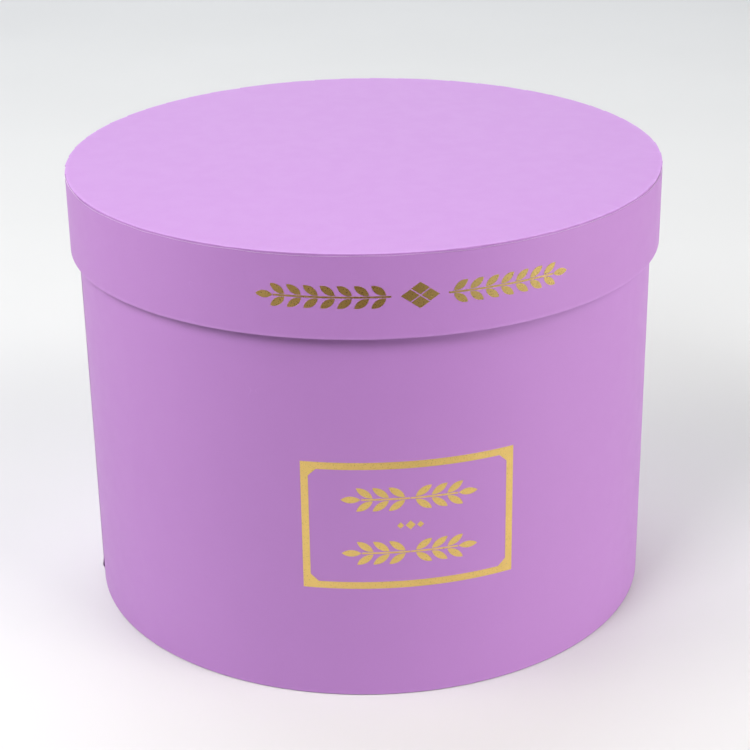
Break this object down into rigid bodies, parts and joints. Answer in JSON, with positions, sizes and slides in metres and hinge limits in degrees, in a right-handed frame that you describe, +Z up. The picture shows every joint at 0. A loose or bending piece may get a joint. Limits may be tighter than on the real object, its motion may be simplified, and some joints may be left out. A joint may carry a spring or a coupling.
{
  "type": "flower box",
  "caption": "Round rigid paper-covered flower box: greyboard tub with a deep lift-off lid, lilac cover paper, white lining and gold foil garlands on the front.",
  "frame": {"origin": "centre of the underside, on the surface the box stands on", "axes": "+Z up along the box's axis, -Y towards the printed front, +X to the right as seen from the front"},
  "size_m": [0.3, 0.3001, 0.228],
  "materials": {
    "lilac_paper": "matte laminated",
    "lining_paper": "matte",
    "greyboard": "matte fibrous",
    "kraft_tape": "matte gummed",
    "gold_foil": "satin foil"
  },
  "bodies": {
    "body": {"body_wall_board": "greyboard", "body_floor_board": "greyboard", "body_joint_tape": "kraft_tape", "body_outer_wrap": "lilac_paper", "body_wall_liner": "lining_paper", "body_floor_liner": "lining_paper", "body_underside_sheet": "lining_paper", "foil_frame": "gold_foil", "foil_upper_garland": "gold_foil", "foil_lower_garland": "gold_foil", "foil_diamonds": "gold_foil"},
    "lid": {"lid_top_board": "greyboard", "lid_rim_board": "greyboard", "lid_joint_tape": "kraft_tape", "lid_top_wrap": "lilac_paper", "lid_rim_wrap": "lilac_paper", "lid_rim_liner": "lining_paper", "lid_top_liner": "lining_paper", "foil_lid_left_garland": "gold_foil", "foil_lid_lozenges": "gold_foil", "foil_lid_right_garland": "gold_foil"}
  },
  "joints": [
    {"name": "lid_lift", "type": "slide", "parent": "body", "child": "lid", "axis": [0, 0, 1], "range_m": [0, 0.12]}
  ]
}
